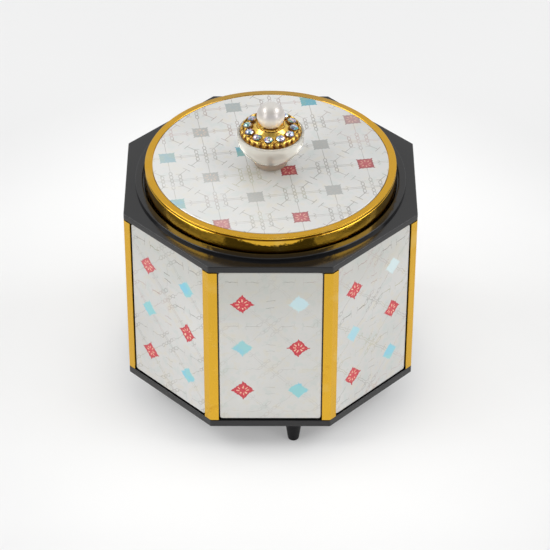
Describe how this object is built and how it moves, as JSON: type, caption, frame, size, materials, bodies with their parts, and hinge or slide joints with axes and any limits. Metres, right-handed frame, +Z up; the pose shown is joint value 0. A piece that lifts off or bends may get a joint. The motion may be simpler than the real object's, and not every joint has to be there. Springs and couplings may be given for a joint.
{
  "type": "musical powder box",
  "caption": "Eight-sided footed dressing-table box with printed foil sides, gold corner strips and a round lift-off lid with a jewelled knob; hollow inside",
  "frame": {"origin": "on the surface the feet stand on, under the middle of the box", "axes": "+Z up; the front panel faces -Y and +X is to its right"},
  "size_m": [0.115, 0.115, 0.1282],
  "materials": {
    "black_plastic": "black polystyrene, glossy",
    "printed_panel": "silvery foil printed with a lattice of small red and turquoise lozenges",
    "gold_strip": "gold anodised, satin",
    "gold_lid": "gold anodised, bright",
    "printed_disc": "silvery foil printed with a lattice of small squares and fine lines",
    "clear_acrylic": "clear polished acrylic",
    "gold_setting": "bright gilt",
    "rhinestone": "cut crystal with an iridescent coat",
    "pearl": "imitation pearl"
  },
  "bodies": {
    "root": {"case_shell": "black_plastic", "base_plate": "black_plastic", "foot_1": "black_plastic", "foot_2": "black_plastic", "foot_3": "black_plastic", "panel_1": "printed_panel", "panel_2": "printed_panel", "panel_3": "printed_panel", "panel_4": "printed_panel", "panel_5": "printed_panel", "panel_6": "printed_panel", "panel_7": "printed_panel", "panel_8": "printed_panel", "corner_strip_1": "gold_strip", "corner_strip_2": "gold_strip", "corner_strip_3": "gold_strip", "corner_strip_4": "gold_strip", "corner_strip_5": "gold_strip", "corner_strip_6": "gold_strip", "corner_strip_7": "gold_strip", "corner_strip_8": "gold_strip", "lid_cap": "gold_lid", "lid_plate": "printed_disc", "knob_stem": "clear_acrylic", "knob_setting": "gold_setting", "rhinestone_1": "rhinestone", "rhinestone_2": "rhinestone", "rhinestone_3": "rhinestone", "rhinestone_4": "rhinestone", "rhinestone_5": "rhinestone", "rhinestone_6": "rhinestone", "rhinestone_7": "rhinestone", "rhinestone_8": "rhinestone", "rhinestone_9": "rhinestone", "rhinestone_10": "rhinestone", "rhinestone_11": "rhinestone", "rhinestone_12": "rhinestone", "pearl": "pearl"}
  },
  "joints": []
}
